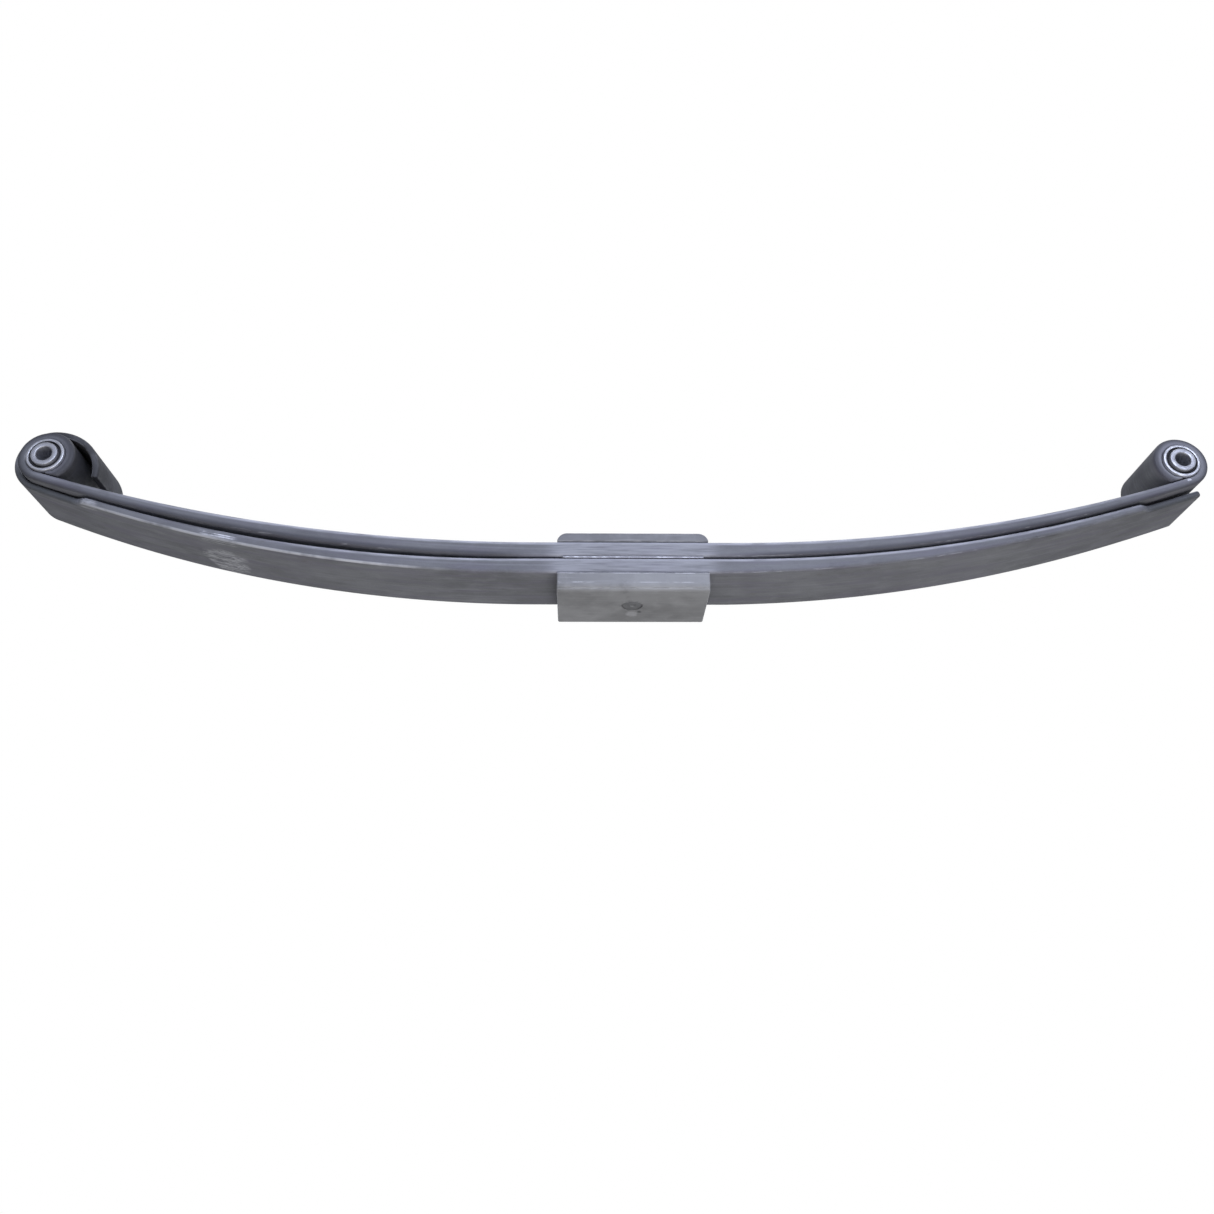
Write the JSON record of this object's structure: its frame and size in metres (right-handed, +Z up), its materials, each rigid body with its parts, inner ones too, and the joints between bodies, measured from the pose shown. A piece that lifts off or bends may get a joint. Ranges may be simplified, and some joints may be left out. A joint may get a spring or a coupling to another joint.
{
  "type": "leaf spring",
  "caption": "Two-leaf parabolic leaf spring with upturned bushed eyes, a wrapped end, a straight end and a clamped centre pad.",
  "frame": {"origin": "centre of the axle pad's lower face, on the axis of the centre bolt", "axes": "+X along the spring towards the straight end, +Y across its width, +Z up towards the eyes"},
  "size_m": [1.2655, 0.089, 0.1901],
  "materials": {
    "spring_steel": "worn dark grey paint over shot-peened spring steel",
    "plate_steel": "worn grey paint over rolled steel",
    "pad_steel": "worn grey paint over rolled steel",
    "liner_zinc": "bare zinc-coated sheet",
    "fastener": "phosphated dark steel",
    "tip_pad": "black moulded plastic",
    "bush_shell": "bright turned steel",
    "bush_rubber": "black natural rubber",
    "bush_sleeve": "turned steel, slightly dull"
  },
  "bodies": {
    "clamped_leaves": {"main_leaf": "spring_steel", "second_leaf": "spring_steel", "centre_liner": "liner_zinc", "top_plate": "plate_steel", "axle_pad": "pad_steel", "centre_bolt": "fastener", "centre_washer": "fastener", "centre_nut": "fastener", "left_tip_pad": "tip_pad", "right_tip_pad": "tip_pad"},
    "left_eye": {"left_bush_shell": "bush_shell", "left_bush_rubber": "bush_rubber"},
    "left_pivot": {"left_bush_sleeve": "bush_sleeve"},
    "right_eye": {"right_bush_shell": "bush_shell", "right_bush_rubber": "bush_rubber"},
    "right_pivot": {"right_bush_sleeve": "bush_sleeve"}
  },
  "joints": [
    {"name": "left_leaf_flex", "type": "hinge", "parent": "clamped_leaves", "child": "left_eye", "pos_m": [-0.2105, 0, 0.0401], "axis": [0, -1, 0], "range_deg": [-2, 16], "stiffness_Nm_per_rad": 20000, "deforming": ["main_leaf", "second_leaf", "left_tip_pad"]},
    {"name": "right_leaf_flex", "type": "hinge", "parent": "clamped_leaves", "child": "right_eye", "pos_m": [0.205, 0, 0.04], "axis": [0, 1, 0], "range_deg": [-2, 16], "stiffness_Nm_per_rad": 20000, "deforming": ["main_leaf", "second_leaf", "right_tip_pad"]},
    {"name": "left_bush_twist", "type": "hinge", "parent": "left_eye", "child": "left_pivot", "pos_m": [-0.611, 0, 0.1535], "axis": [0, 1, 0], "range_deg": [-15, 15], "stiffness_Nm_per_rad": 120},
    {"name": "right_bush_twist", "type": "hinge", "parent": "right_eye", "child": "right_pivot", "pos_m": [0.589, 0, 0.1535], "axis": [0, 1, 0], "range_deg": [-20, 20], "stiffness_Nm_per_rad": 120}
  ]
}
